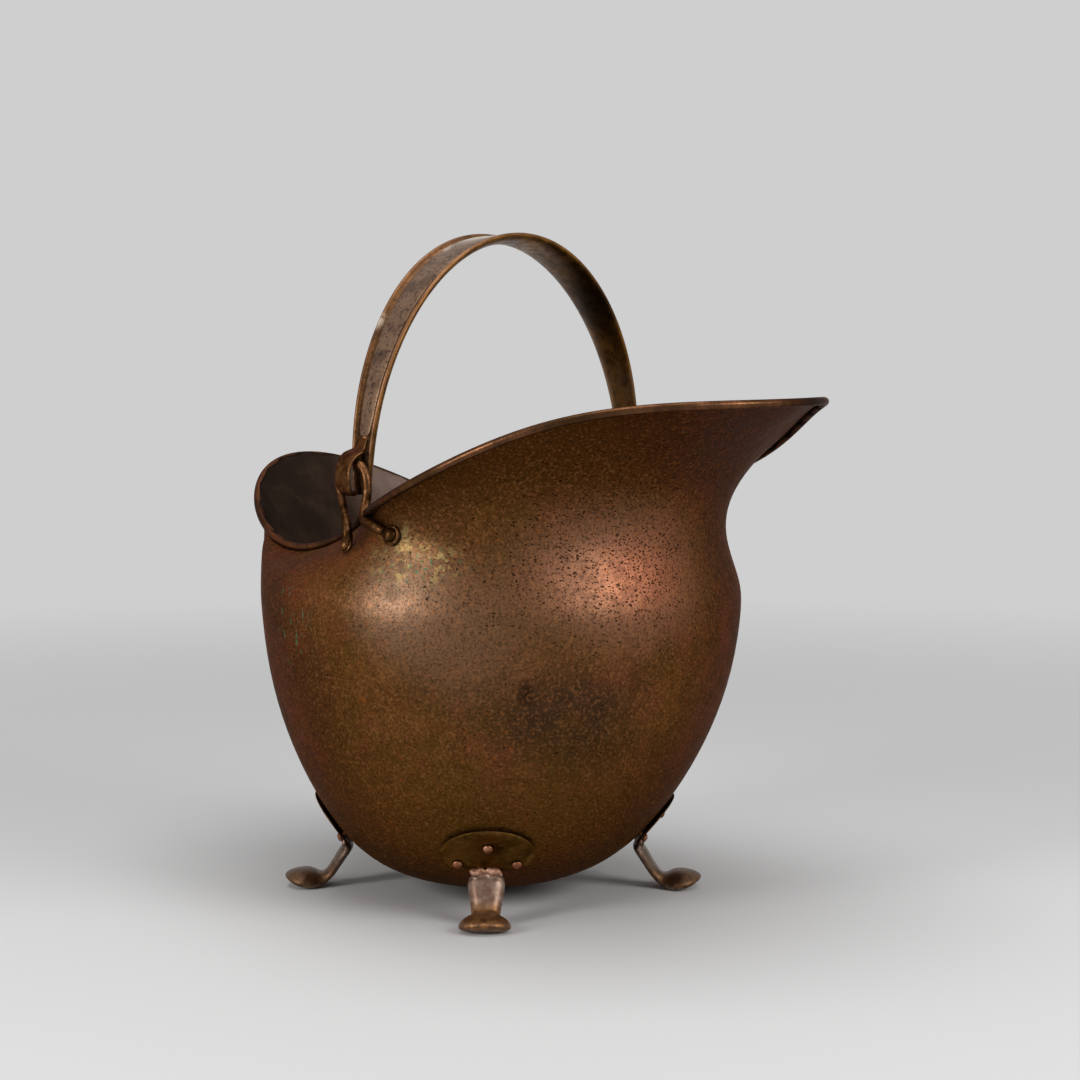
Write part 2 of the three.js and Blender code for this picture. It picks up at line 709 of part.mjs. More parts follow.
const bail = new THREE.Group();
for (const [side, name] of [[1, "left"], [-1, "right"]]) {
  const { geometry, pads } = earGeometry(side);
  scuttle.add(piece(`ear_${name}`, geometry, forgedBrass));
  pads.forEach((frame, k) => {
    const spot = ["rear", "front"][k];
    rivetHoles.push(rivetHole(EAR_RIVET, frame));
    scuttle.add(rivet(`ear_rivet_${name}_${spot}`, EAR_RIVET, EAR_STACK, frame, forgedBrass));
  });
  bail.add(piece(`handle_hook_${name}`, hookGeometry(side), forgedBrass));
}
bail.add(piece("handle_channel", channelGeometry(), handleCopper));
bail.add(piece("handle_strip", stripGeometry(), handleCopper));

scuttle.add(piece("body_shell", cut(sheetGeometry(), rivetHoles), agedCopper));
scuttle.add(piece("rim_wire", wireGeometry(), ironWire));
scuttle.add(bail);

// The origin lies under the middle of the whole length
const length = new THREE.Box3().setFromObject(scuttle);
scuttle.position.x = -(length.min.x + length.max.x) / 2;

export default scuttle;
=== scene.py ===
import json
import math

import bmesh
import bpy
from mathutils import Matrix, Vector
from mathutils.bvhtree import BVHTree


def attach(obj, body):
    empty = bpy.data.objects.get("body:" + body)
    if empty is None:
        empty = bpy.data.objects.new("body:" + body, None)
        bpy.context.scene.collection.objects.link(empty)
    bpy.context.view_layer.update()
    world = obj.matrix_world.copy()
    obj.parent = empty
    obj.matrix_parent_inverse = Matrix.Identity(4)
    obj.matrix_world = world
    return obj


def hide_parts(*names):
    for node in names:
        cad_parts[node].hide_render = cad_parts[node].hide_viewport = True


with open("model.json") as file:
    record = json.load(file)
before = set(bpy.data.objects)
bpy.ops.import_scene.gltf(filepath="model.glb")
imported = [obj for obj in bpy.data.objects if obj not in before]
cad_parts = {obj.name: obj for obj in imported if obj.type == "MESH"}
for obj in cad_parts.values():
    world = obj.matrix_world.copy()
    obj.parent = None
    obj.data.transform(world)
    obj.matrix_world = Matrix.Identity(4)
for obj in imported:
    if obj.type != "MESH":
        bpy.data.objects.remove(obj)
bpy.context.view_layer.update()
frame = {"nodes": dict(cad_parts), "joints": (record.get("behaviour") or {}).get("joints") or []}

# ---------- the bowl ----------
# One sheet of copper, raised with the hammer into a round bowl with a drawn-in neck and a wide
# flaring lip. Its edge is rolled over a wire, and rivets hold the ears and the feet to it.
ROUNDING = 2
PLUG_REACH = 0.0048  # the ears' studs pass beside the CAD model's holes, so those are closed
BEAD_REACH = 0.0022  # from the wire's skin to the outside of the rolled edge
BEAD_BLUR = 0.0004
FLAT_BELOW = 0.1  # down here the sheet lies flat enough that up tells its inside from its outside

# Patterns on the sheet, in metres across one cloud, fleck or mark
MOTTLE = 0.055
OLIVE_CLOUD = 0.09
FLUSH_CLOUD = 0.034
FLECK = 0.009
GRAIN = 0.0016  # the real bloom is finer, and is drawn coarser here so that it shows
RUST_SPOT = 0.0045
HAMMER_MARK = 0.03
PIT_SPACING = 0.003
PIT_LENGTH = 1.9  # times its width

# Marks of wear and stains, painted highlights and a patch of painted light: the middle in
# millimetres, the reach, and the stretch along x, y and z
PAINTED_GLINT_SHOULDER = ((139, -42, 240), 120, (1, 1, 0.62))
PAINTED_RED_GLINT_SHOULDER = ((142, -20, 240), 62, (1, 1, 0.8))
PAINTED_GLINT_BY_EAR = ((50, -153, 226), 62)
PAINTED_SHEEN_FRONT = ((80, -125, 205), 75)
SMOKED = ((122, -76, 150), 92, (1, 1, 0.66))
BURNT_SPOTS = (((112, -101, 165), 9), ((118, -82, 195), 7), ((30, -150, 190), 6))
SPOT_STRETCH = (1, 1, 1.8)
VERDIGRIS = ((52, -143, 249), 46, (1.35, 1, 0.5))
CRUST_BY_PAD = ((42, -146, 266), 16)
GREEN_RUNS = ((-52, -166, 205), 50)
PITTED_SIDE = ((132, -45, 262), 150, (1, 1, 0.72))
PAINTED_LIGHT_LOBE = ((-207, 62, 284), 62)
LOW_DOWN = (0.15, 0.05)  # heights between which the belly turns to olive
PAINTED_LIP_SHADE = (0.262, 0.31)  # heights between which the neck turns to the lip, darkened there with painted shade


def linear(code):
    """An sRGB hex colour as linear red, green, blue and alpha."""
    parts = [int(code[k : k + 2], 16) / 255 for k in (1, 3, 5)]
    return [p / 12.92 if p <= 0.04045 else ((p + 0.055) / 1.055) ** 2.4 for p in parts] + [1.0]


def add(tree, kind, settings=None, **inputs):
    """Adds a node: settings are its own, inputs are values or the sockets that feed it."""
    node = tree.nodes.new(kind)
    for key, value in (settings or {}).items():
        setattr(node, key, value)
    for key, value in inputs.items():
        counted = key.startswith("in") and key[2:].isdigit()
        socket = node.inputs[int(key[2:]) if counted else key.replace("_", " ")]
        if isinstance(value, bpy.types.NodeSocket):
            tree.links.new(value, socket)
        else:
            socket.default_value = value
    return node


def finish_named(name):
    """An empty material with its output, its shader and the piece's own coordinates."""
    material = bpy.data.materials.new(name)
    material.use_nodes = True
    tree = material.node_tree
    tree.nodes.clear()
    shader = add(tree, "ShaderNodeBsdfPrincipled")
    add(tree, "ShaderNodeOutputMaterial", Surface=shader.outputs["BSDF"])
    place = add(tree, "ShaderNodeTexCoord").outputs["Object"]
    return material, tree, shader, place


def clouds(tree, place, size, detail=4.0, low=0.35, high=0.65):
    """Soft noise of a real size in metres, spread between two levels to 0..1."""
    noise = add(
        tree, "ShaderNodeTexNoise", Vector=place, Scale=1 / size, Detail=detail, Roughness=0.6
    )
    return add(
        tree,
        "ShaderNodeMapRange",
        {"interpolation_type": "SMOOTHSTEP"},
        Value=noise.outputs["Fac"],
        From_Min=low,
        From_Max=high,
    ).outputs["Result"]


def near(tree, place, middle, reach, stretch=(1, 1, 1)):
    """1 at a place on the piece, in millimetres, fading to 0 at reach."""
    away = add(
        tree,
        "ShaderNodeVectorMath",
        {"operation": "SUBTRACT"},
        in0=place,
        in1=[m / 1000 for m in middle],
    )
    squeezed = add(
        tree, "ShaderNodeVectorMath", {"operation": "DIVIDE"}, in0=away.outputs[0], in1=stretch
    )
    length = add(tree, "ShaderNodeVectorMath", {"operation": "LENGTH"}, in0=squeezed.outputs[0])
    return add(
        tree,
        "ShaderNodeMapRange",
        {"interpolation_type": "SMOOTHERSTEP"},
        Value=length.outputs["Value"],
        From_Min=reach / 1000,
        From_Max=0.0,
    ).outputs["Result"]


def patina(tree, ground, *layers):
    """Lays colours over a ground, each by the product of the masks and shares given with it."""
    under = linear(ground) if isinstance(ground, str) else ground
    for top, *masks in layers:
        share = masks[0]
        for mask in masks[1:]:
            share = add(
                tree,
                "ShaderNodeMath",
                {"operation": "MULTIPLY", "use_clamp": True},
                in0=share,
                in1=mask,
            ).outputs[0]
        top = linear(top) if isinstance(top, str) else top
        laid = add(tree, "ShaderNodeMix", {"data_type": "RGBA"}, in0=share, in6=under, in7=top)
        under = laid.outputs[2]
    return under


def sheet_copy(node, name, levels, corner=40, plugs=()):
    """A copy of a CAD node's mesh, merged, its triangles paired, and rounded by subdivision.

    Each plug is a place where a hole is closed.
    """
    mesh = bpy.data.meshes.new(name)
    bm = bmesh.new()
    bm.from_mesh(frame["nodes"][node].data)
    bmesh.ops.remove_doubles(bm, verts=bm.verts, dist=1e-5)
    for plug in plugs:
        around = [v for v in bm.verts if math.hypot(v.co.x - plug.x, v.co.z - plug.z) < PLUG_REACH]
        around = [v for v in around if abs(v.co.y - plug.y) < 4 * PLUG_REACH]
        bmesh.ops.delete(bm, geom=around, context="VERTS")
        bmesh.ops.holes_fill(bm, edges=[edge for edge in bm.edges if edge.is_boundary])
    bmesh.ops.join_triangles(
        bm,
        faces=bm.faces,
        angle_face_threshold=math.radians(corner),
        angle_shape_threshold=math.radians(corner),
    )
    bm.to_mesh(mesh)
    bm.free()
    if "custom_normal" in mesh.attributes:
        mesh.attributes.remove(mesh.attributes["custom_normal"])
    mesh.shade_smooth()
    piece = bpy.data.objects.new(name, mesh)
    bpy.context.scene.collection.objects.link(piece)
    if levels:
        rounding = piece.modifiers.new("rounding", "SUBSURF")
        rounding.levels = rounding.render_levels = levels
    return piece


def dress(piece, node, body, material):
    """Gives a piece its material, its body, and the CAD node whose place it takes."""
    piece.data.materials.clear()
    piece.data.materials.append(material)
    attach(piece, body)
    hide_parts(node)
    return piece


def mark(mesh, name, values):
    layer = mesh.attributes.new(name, "FLOAT", "POINT")
    layer.data.foreach_set("value", values)


ear_holes = []
for name in ("left_front", "left_rear", "right_front", "right_rear"):
    corners = [v.co for v in frame["nodes"]["ear_rivet_" + name].data.vertices]
    ear_holes.append(sum(corners, Vector()) / len(corners))
bowl = sheet_copy("body_shell", "raised_bowl", ROUNDING, plugs=ear_holes)
# The rounding is made mesh here, so that each mark below has its own fine edge
rounded = bowl.evaluated_get(bpy.context.evaluated_depsgraph_get())
bowl.data = bpy.data.meshes.new_from_object(rounded)
bowl.modifiers.clear()
wire = frame["nodes"]["rim_wire"]
wire_skin = BVHTree.FromPolygons(
    [v.co for v in wire.data.vertices], [f.vertices for f in wire.data.polygons]
)
beads, insides = [], []
for vertex in bowl.data.vertices:
    gap = wire_skin.find_nearest(vertex.co, BEAD_REACH + BEAD_BLUR)[3]
    rolled_in = 0.0 if gap is None else (BEAD_REACH + BEAD_BLUR - gap) / (2 * BEAD_BLUR)
    beads.append(min(1.0, rolled_in))
    outwards = Vector((vertex.co.x, vertex.co.y, 0)).normalized()
    upwards = vertex.normal.z if vertex.co.z < FLAT_BELOW else 0.0
    insides.append(1.0 if vertex.normal.dot(outwards) < upwards else 0.0)
mark(bowl.data, "bead", beads)
mark(bowl.data, "inside", insides)

# Copper sheet, raised cold and a century old: its satin face under a brown, mottled skin spreads
# the light into broad pink glints. Pale and red highlights are painted on the shoulder, by the ear
# and on the front, the lip is darkened with painted shade, and it is smoked low down.
copper, tree, shader, place = finish_named("aged copper sheet, raised and hand-worn")
height = add(tree, "ShaderNodeSeparateXYZ", Vector=place).outputs["Z"]
mottle = clouds(tree, place, MOTTLE, 5, 0.38, 0.62)
fleck = clouds(tree, place, FLECK, 6, 0.38, 0.66)
grain = clouds(tree, place, GRAIN, 3, 0.3, 0.7)
dark_grain = clouds(tree, place, GRAIN, 2, 0.46, 0.66)
# The same noise read elsewhere, so that these patterns don't fall on the ones above
olive_place = add(tree, "ShaderNodeMapping", Vector=place, Location=[3.0, 1.0, 2.0]).outputs[0]
flush_place = add(tree, "ShaderNodeMapping", Vector=place, Location=[5.0, 2.0, 4.0]).outputs[0]
bloom_place = add(tree, "ShaderNodeMapping", Vector=place, Location=[1.3, 2.1, 0.7]).outputs[0]
green_place = add(tree, "ShaderNodeMapping", Vector=place, Location=[0.4, 0.2, 0.1]).outputs[0]
run_place = add(tree, "ShaderNodeMapping", Vector=place, Scale=[1, 1, 0.25]).outputs[0]
olive = clouds(tree, olive_place, OLIVE_CLOUD, 3)
flush = clouds(tree, flush_place, FLUSH_CLOUD, 4, 0.5, 0.7)
bloom = clouds(tree, bloom_place, GRAIN * 1.4, 2, 0.5, 0.68)
rust = clouds(tree, bloom_place, RUST_SPOT, 3, 0.6, 0.72)
low_down = add(
    tree,
    "ShaderNodeMapRange",
    {"interpolation_type": "SMOOTHSTEP"},
    Value=height,
    From_Min=LOW_DOWN[0],
    From_Max=LOW_DOWN[1],
).outputs["Result"]
# Share of painted shade on the downward-facing lip, rising with height
lip = add(
    tree,
    "ShaderNodeMapRange",
    {"interpolation_type": "SMOOTHSTEP"},
    Value=height,
    From_Min=PAINTED_LIP_SHADE[0],
    From_Max=PAINTED_LIP_SHADE[1],
).outputs["Result"]
colour = patina(
    tree,
    "#5a3a1b",
    ("#74492a", mottle),
    ("#5e4418", olive, 0.55),
    ("#442a12", fleck, 0.45),
    ("#7a3f2c", flush, 0.4),
    ("#5e3f12", low_down, 0.8),
    # Painted shade: the flared lip, which faces down, is darkened
    ("#503010", lip, 0.85),
    # Painted highlights: a pale pink glint on the right shoulder and its red edge
    ("#8c6450", near(tree, place, *PAINTED_GLINT_SHOULDER), 0.85),
    ("#94472a", near(tree, place, *PAINTED_RED_GLINT_SHOULDER), 0.36),
    # Painted highlights: a pale glint by the ear and a broad sheen over the front of the belly
    ("#77604f", near(tree, place, *PAINTED_GLINT_BY_EAR), 0.85),
    ("#785943", near(tree, place, *PAINTED_SHEEN_FRONT), 0.75),
    ("#3a2a21", near(tree, place, *SMOKED), clouds(tree, place, 0.03, 4, 0.2, 0.6), 0.8),
    *(("#1d110a", near(tree, place, *spot, SPOT_STRETCH), 0.8) for spot in BURNT_SPOTS),
    ("#2c1908", dark_grain, 0.55),
    ("#a06a42", bloom, 0.34),
    ("#8c4a1c", rust, clouds(tree, place, 0.06, 2, 0.42, 0.6), 0.6),
)

# Verdigris grows where damp stays: cream flakes and green specks by the ear, and runs below it
verdigris = near(tree, place, *VERDIGRIS)
colour = patina(
    tree,
    colour,
    ("#8e7a4c", verdigris, clouds(tree, place, 0.0052, 4, 0.53, 0.62)),
    ("#85714a", near(tree, place, *CRUST_BY_PAD), clouds(tree, place, 0.003, 3, 0.42, 0.6)),
    ("#2f5f45", verdigris, clouds(tree, green_place, 0.0036, 3, 0.6, 0.67)),
    ("#4f7f66", near(tree, place, *GREEN_RUNS), clouds(tree, run_place, 0.0024, 2, 0.6, 0.7)),
)

# Pits left by damp coal: short dark dashes that crowd together on the pouring side
warp = add(tree, "ShaderNodeTexNoise", Vector=place, Scale=1 / 0.004, Detail=2.0)
warped = add(
    tree,
    "ShaderNodeVectorMath",
    {"operation": "MULTIPLY_ADD"},
    in0=warp.outputs["Color"],
    in1=[0.003] * 3,
    in2=place,
).outputs[0]
dashes = add(tree, "ShaderNodeMapping", Vector=warped, Scale=[1, 1, PIT_LENGTH]).outputs[0]
cells = add(tree, "ShaderNodeTexVoronoi", Vector=dashes, Scale=1 / PIT_SPACING, Randomness=1.0)
chances = add(tree, "ShaderNodeSeparateXYZ", Vector=cells.outputs["Color"])
pitted = add(
    tree,
    "ShaderNodeMath",
    {"operation": "MULTIPLY", "use_clamp": True},
    in0=near(tree, place, *PITTED_SIDE),
    in1=clouds(tree, place, 0.026, 4, 0.28, 0.52),
).outputs[0]
crowd = add(
    tree, "ShaderNodeMath", {"operation": "MULTIPLY_ADD"}, in0=pitted, in1=1.1, in2=0.04
).outputs[0]
chosen = add(
    tree, "ShaderNodeMath", {"operation": "LESS_THAN"}, in0=chances.outputs["X"], in1=crowd
).outputs[0]
width = add(
    tree,
    "ShaderNodeMath",
    {"operation": "MULTIPLY_ADD"},
    in0=chances.outputs["Y"],
    in1=0.24,
    in2=0.2,
).outputs[0]
core_width = add(
    tree, "ShaderNodeMath", {"operation": "MULTIPLY", "use_clamp": True}, in0=width, in1=0.6
).outputs[0]
hollow = add(
    tree,
    "ShaderNodeMapRange",
    Value=cells.outputs["Distance"],
    From_Min=width,
    From_Max=core_width,
).outputs["Result"]
pit = add(
    tree, "ShaderNodeMath", {"operation": "MULTIPLY", "use_clamp": True}, in0=chosen, in1=hollow
).outputs[0]

# Inside, soot and coal have left it nearly black, and a paler patch of painted light lies on the
# back lobe's inner wall. The rolled edge is rubbed, and a painted shadow darkens the sheet where
# the roll meets the wall.
bead = add(tree, "ShaderNodeAttribute", {"attribute_name": "bead"}).outputs["Fac"]
inside = add(tree, "ShaderNodeAttribute", {"attribute_name": "inside"}).outputs["Fac"]
painted_bead_shadow = add(
    tree, "ShaderNodeMapRange", Value=bead, From_Min=0.3, From_Max=0.8
).outputs["Result"]
rolled = add(
    tree, "ShaderNodeMapRange", Value=bead, From_Min=0.86, From_Max=0.97
).outputs["Result"]
# Painted light: a paler patch on the back lobe's inner wall, by the rim
lining = patina(
    tree, "#271e19", ("#3a2d25", mottle), ("#67574e", near(tree, place, *PAINTED_LIGHT_LOBE))
)
rubbed_edge = patina(
    tree,
    "#45301c",
    ("#6f4a32", clouds(tree, place, 0.045, 4, 0.4, 0.66)),
    ("#38231a", fleck, 0.55),
)
colour = patina(
    tree,
    colour,
    ("#1c0f06", pit, 0.85),
    (lining, inside),
    # Painted shadow where the roll meets the wall
    ("#160c06", painted_bead_shadow, 0.85),
    (rubbed_edge, rolled),
)
tree.links.new(colour, shader.inputs["Base Color"])
shader.inputs["Metallic"].default_value = 0.84
shader.inputs["Specular Tint"].default_value = linear("#8a5a38")
# Satin outside, duller with soot inside, and polished on the rolled edge
rough = add(tree, "ShaderNodeMapRange", Value=fleck, To_Min=0.4, To_Max=0.54).outputs["Result"]
for part, change in ((inside, 0.16), (rolled, -0.16)):
    rough = add(
        tree, "ShaderNodeMath", {"operation": "MULTIPLY_ADD"}, in0=part, in1=change, in2=rough
    ).outputs[0]
tree.links.new(rough, shader.inputs["Roughness"])
dents = add(tree, "ShaderNodeTexNoise", Vector=place, Scale=1 / HAMMER_MARK, Detail=1.0)
relief = add(
    tree, "ShaderNodeBump", Strength=0.5, Distance=0.0012, Height=dents.outputs["Fac"]
).outputs[0]
relief = add(
    tree,
    "ShaderNodeBump",
    {"invert": True},
    Strength=0.6,
    Distance=0.0004,
    Height=pit,
    Normal=relief,
).outputs[0]
relief = add(
    tree, "ShaderNodeBump", Strength=0.25, Distance=0.0002, Height=grain, Normal=relief
).outputs[0]
tree.links.new(relief, shader.inputs["Normal"])
dress(bowl, "body_shell", "scuttle", copper)

# ---------- the wire in the rolled edge ----------
# Iron wire that the edge of the sheet is turned around, which keeps the mouth stiff. Hardly any
# of it shows through the roll, so it keeps the CAD solid.
# Drawn iron: dull and nearly black, with a little brown scale
iron, tree, shader, place = finish_named("black drawn iron wire")
scaled = patina(tree, "#2b2521", ("#443a32", clouds(tree, place, 0.004, 3)))
tree.links.new(scaled, shader.inputs["Base Color"])
shader.inputs["Metallic"].default_value = 0.8
shader.inputs["Roughness"].default_value = 0.6
wire.data.materials.clear()
wire.data.materials.append(iron)

# ---------- the ears ----------
# Forged from round brass bar in one piece: an eye that carries the handle, and two legs that part
# below it, to a wide pad in front and a small one behind. A stud through each pad and the sheet
# is peened over on the inside.
# Stations along the right ear's bar in millimetres, with the bar's radius
REAR_LEG = (
    (-12.4, -146.0, 258.0, 4.4),
    (-9.8, -148.2, 263.5, 3.7),
    (-11.8, -146.8, 270, 3.3),
    (-20.0, -142.0, 277.5, 3.0),
    (-28.6, -137.2, 286.4, 2.9),
)
FRONT_LEG = (
    (-2.6, -136.8, 289.5, 3.2),
    (-3.0, -138.6, 282.6, 3.4),
    (-0.5, -142.6, 277.0, 3.6),
    (5.0, -146.2, 273.8, 3.8),
    (12.5, -147.4, 272.6, 3.7),
    (20, -147.6, 270.8, 3.8),
    (27, -146.8, 267.8, 3.9),
)
EYE_RADIUS = 15.0
EYE_BAR = 3.3
EYE_PLANE = -136.2
EYE_TURNS = range(205, -6, -30)  # degrees, from the rear leg over the top to the front leg
# Each pad's middle, the way that it faces, its radius and its stud's radius
FRONT_PAD = ((31.5, -145.4, 266.4), (0.15, -0.96, 0.2), 8.7, 5.0)
REAR_PAD = ((-12.2, -146.6, 256.8), (-0.2, -0.85, 0.4), 6.2, 4.6)
PAD_THICKNESS = 3.2
PAD_TAPER = 0.86
STUD_RISE = 0.72  # share of the stud's radius
STUD_TAIL = 0.0062  # from the pad's middle to the tail peened inside the bowl
TAIL_SIZE = 0.8  # share of the head
EAR_VOXEL = 0.00055
EAR_SMOOTHING = 6
PIVOT = Vector(frame["joints"][0]["pos_m"])


def bar_through(bm, stations, sides=12):
    """A round bar through stations of x, y, z and radius in millimetres."""
    loops = []
    for k, station in enumerate(stations):
        before, after = stations[max(k - 1, 0)], stations[min(k + 1, len(stations) - 1)]
        along = (Vector(after[:3]) - Vector(before[:3])).normalized()
        across = along.cross(Vector((0, 1, 0))).normalized()
        turn = Matrix((across, along.cross(across), along)).transposed().to_4x4()
        place = Matrix.Translation(Vector(station[:3]) / 1000) @ turn
        made = bmesh.ops.create_circle(
            bm, segments=sides, radius=station[3] / 1000, matrix=place
        )
        loops.append({edge for vertex in made["verts"] for edge in vertex.link_edges})
    for here, there in zip(loops, loops[1:]):
        bmesh.ops.bridge_loops(bm, edges=[*here, *there])
    bmesh.ops.holes_fill(bm, edges=[*loops[0], *loops[-1]], sides=sides)


def forged(piece, voxel, passes):
    """Flows a piece's parts together and smooths them as hammered bar is."""
    rounding = piece.modifiers.new("rounding", "SUBSURF")
    rounding.levels = rounding.render_levels = 1
    flow = piece.modifiers.new("flow", "REMESH")
    flow.mode = "VOXEL"
    flow.voxel_size = voxel
    flow.use_smooth_shade = True
    soften = piece.modifiers.new("soften", "SMOOTH")
    soften.factor = 0.5
    soften.iterations = passes
    return piece


def object_from(bm, name, mirrored=False):
    """Makes an object of a bmesh built for the right side, mirrored for the left."""
    if mirrored:
        bmesh.ops.scale(bm, vec=(1, -1, 1), verts=bm.verts)
    bmesh.ops.recalc_face_normals(bm, faces=bm.faces)
    mesh = bpy.data.meshes.new(name)
    bm.to_mesh(mesh)
    bm.free()
    mesh.shade_smooth()
    piece = bpy.data.objects.new(name, mesh)
    bpy.context.scene.collection.objects.link(piece)
    return piece


def forged_finish(name, dark, middle, bright):
    """Hammered metal: a dark skin, the metal's own colour, and bright rubbed spots."""
    material, tree, shader, place = finish_named(name)
    colour = patina(
        tree,
        dark,
        (middle, clouds(tree, place, 0.014, 5, 0.35, 0.6)),
        (bright, clouds(tree, place, 0.006, 4, 0.52, 0.72), 0.6),
    )
    tree.links.new(colour, shader.inputs["Base Color"])
    shader.inputs["Metallic"].default_value = 0.9
    shader.inputs["Specular Tint"].default_value = linear("#8a5a38")
    rough = add(
        tree, "ShaderNodeMapRange", Value=clouds(tree, place, 0.005, 3), To_Min=0.3, To_Max=0.46
    )
    tree.links.new(rough.outputs["Result"], shader.inputs["Roughness"])
    lumps = add(tree, "ShaderNodeTexNoise", Vector=place, Scale=1 / 0.007, Detail=3.0)
    relief = add(
        tree, "ShaderNodeBump", Strength=0.5, Distance=0.0006, Height=lumps.outputs["Fac"]
    )
    tree.links.new(relief.outputs[0], shader.inputs["Normal"])
    return material


# Forged brass gone brown: soft, slightly lumpy glints, golden where hands and the handle rub it
brown_brass = forged_finish("forged brass, brown and rubbed", "#38230f", "#5f3f26", "#906748")
eye = []
for turn in EYE_TURNS:
    eye_x = PIVOT.x * 1000 + EYE_RADIUS * math.cos(math.radians(turn))
    eye_z = PIVOT.z * 1000 + EYE_RADIUS * math.sin(math.radians(turn))
    eye.append((eye_x, EYE_PLANE, eye_z, EYE_BAR))
for side in ("left", "right"):
    bm = bmesh.new()
    bar_through(bm, [*REAR_LEG, *eye, *FRONT_LEG])
    for middle, facing, radius, _ in (FRONT_PAD, REAR_PAD):
        turn = Vector(facing).to_track_quat("Z", "Y").to_matrix().to_4x4()
        bmesh.ops.create_cone(
            bm,
            cap_ends=True,
            segments=20,
            radius1=radius / 1000,
            radius2=PAD_TAPER * radius / 1000,
            depth=PAD_THICKNESS / 1000,
            matrix=Matrix.Translation(Vector(middle) / 1000) @ turn,
        )
    ear = object_from(bm, "forged_ear_" + side, side == "left")
    forged(ear, EAR_VOXEL, EAR_SMOOTHING)
    dress(ear, "ear_" + side, "scuttle", brown_brass)
    for end, (middle, facing, _, radius) in (("front", FRONT_PAD), ("rear", REAR_PAD)):
        outwards = Vector(facing).normalized()
        turn = outwards.to_track_quat("Z", "Y").to_matrix().to_4x4()
        crown = Vector(middle) / 1000 + outwards * PAD_THICKNESS / 2000
        tail = Vector(middle) / 1000 - outwards * STUD_TAIL
        bm = bmesh.new()
        for spot, size in ((crown, 1.0), (tail, TAIL_SIZE)):
            squash = Matrix.Diagonal((size, size, STUD_RISE * size, 1))
            bmesh.ops.create_uvsphere(
                bm,
                u_segments=24,
                v_segments=14,
                radius=radius / 1000,
                matrix=Matrix.Translation(spot) @ turn @ squash,
            )
        stud = object_from(bm, f"ear_stud_{side}_{end}", side == "left")
        dress(stud, f"ear_rivet_{side}_{end}", "scuttle", brown_brass)

# ---------- the feet ----------
# Each foot is a lobed plate of sheet brass, dished to the bowl and held by three rivets, and a
# forged copper leg brazed to it, which runs down to a flared, upturned toe.
HEADINGS = {"front_right": -45, "front_left": 45, "rear_left": 135, "rear_right": -135}
PLATE_WIDER = 1.05
PLATE_TALLER = 1.05
LEG_WIDER = 1.15
LEG_VOXEL = 0.0007
LEG_SMOOTHING = 14
RIDGE = 0.0025  # the top of the leg, along which the braze lies
BRAZE_BEADS = 11
BRAZE_BEAD = 0.0024
STUD_WIDER = 1.32
# Heights in metres between which one colour of the leg gives way to the next
BRAZE_FROM = (0.0315, 0.0335)
TOE_FROM = (0.019, 0.011)
SOLE_FROM = (0.0035, 0.0015)
SIDE_FEET_SHADE_REACH = (0.09, 0.04)  # the same, along the way that the front right foot points, for the painted shade on the other feet

# Copper rivets, their domes rubbed pink
copper_stud = forged_finish("copper stud, rubbed pink", "#6b4226", "#94624a", "#b98a70")
# Sheet brass under an old olive skin, with dull, uneven glints
plate_brass = forged_finish("hammered sheet brass, dull olive", "#45300f", "#664720", "#8f6b3c")

# Forged copper that shoes and the floor keep pale: grey-pink on the leg, a pinker ridge of braze,
# a brown toe with a scraped sole. Painted shade darkens the three feet other than the front right
# one.
foot_copper, tree, shader, place = finish_named("forged copper leg, brazed and trodden")
height = add(tree, "ShaderNodeSeparateXYZ", Vector=place).outputs["Z"]
braze = add(
    tree, "ShaderNodeMapRange", Value=height, From_Min=BRAZE_FROM[0], From_Max=BRAZE_FROM[1]
).outputs["Result"]
toe = add(
    tree,
    "ShaderNodeMapRange",
    {"interpolation_type": "SMOOTHSTEP"},
    Value=height,
    From_Min=TOE_FROM[0],
    From_Max=TOE_FROM[1],
).outputs["Result"]
sole = add(
    tree, "ShaderNodeMapRange", Value=height, From_Min=SOLE_FROM[0], From_Max=SOLE_FROM[1]
).outputs["Result"]
ahead = add(
    tree,
    "ShaderNodeVectorMath",
    {"operation": "DOT_PRODUCT"},
    in0=place,
    in1=[0.707, -0.707, 0],
).outputs["Value"]
# Painted shade: 1 on the feet other than the front right one, fading out along its heading
dull = add(
    tree, "ShaderNodeMapRange", Value=ahead, From_Min=SIDE_FEET_SHADE_REACH[0], From_Max=SIDE_FEET_SHADE_REACH[1]
).outputs["Result"]
braze_pink = patina(tree, "#8a5f48", ("#c79a84", clouds(tree, place, 0.003, 3)))
toe_brown = patina(tree, "#5f3f26", ("#8f643c", clouds(tree, place, 0.006, 4)))
colour = patina(
    tree,
    "#6e5344",
    ("#98806f", clouds(tree, place, 0.008, 5)),
    (braze_pink, braze),
    (toe_brown, toe),
    # painted shade on the other feet
    ("#35261b", dull, 0.6),
    ("#9a8472", sole, clouds(tree, place, 0.003, 3, 0.35, 0.55)),
)
tree.links.new(colour, shader.inputs["Base Color"])
shader.inputs["Metallic"].default_value = 0.7
shader.inputs["Roughness"].default_value = 0.42
lumps = add(tree, "ShaderNodeTexNoise", Vector=place, Scale=1 / 0.006, Detail=3.0)
relief = add(tree, "ShaderNodeBump", Strength=0.6, Distance=0.0007, Height=lumps.outputs["Fac"])
tree.links.new(relief.outputs[0], shader.inputs["Normal"])


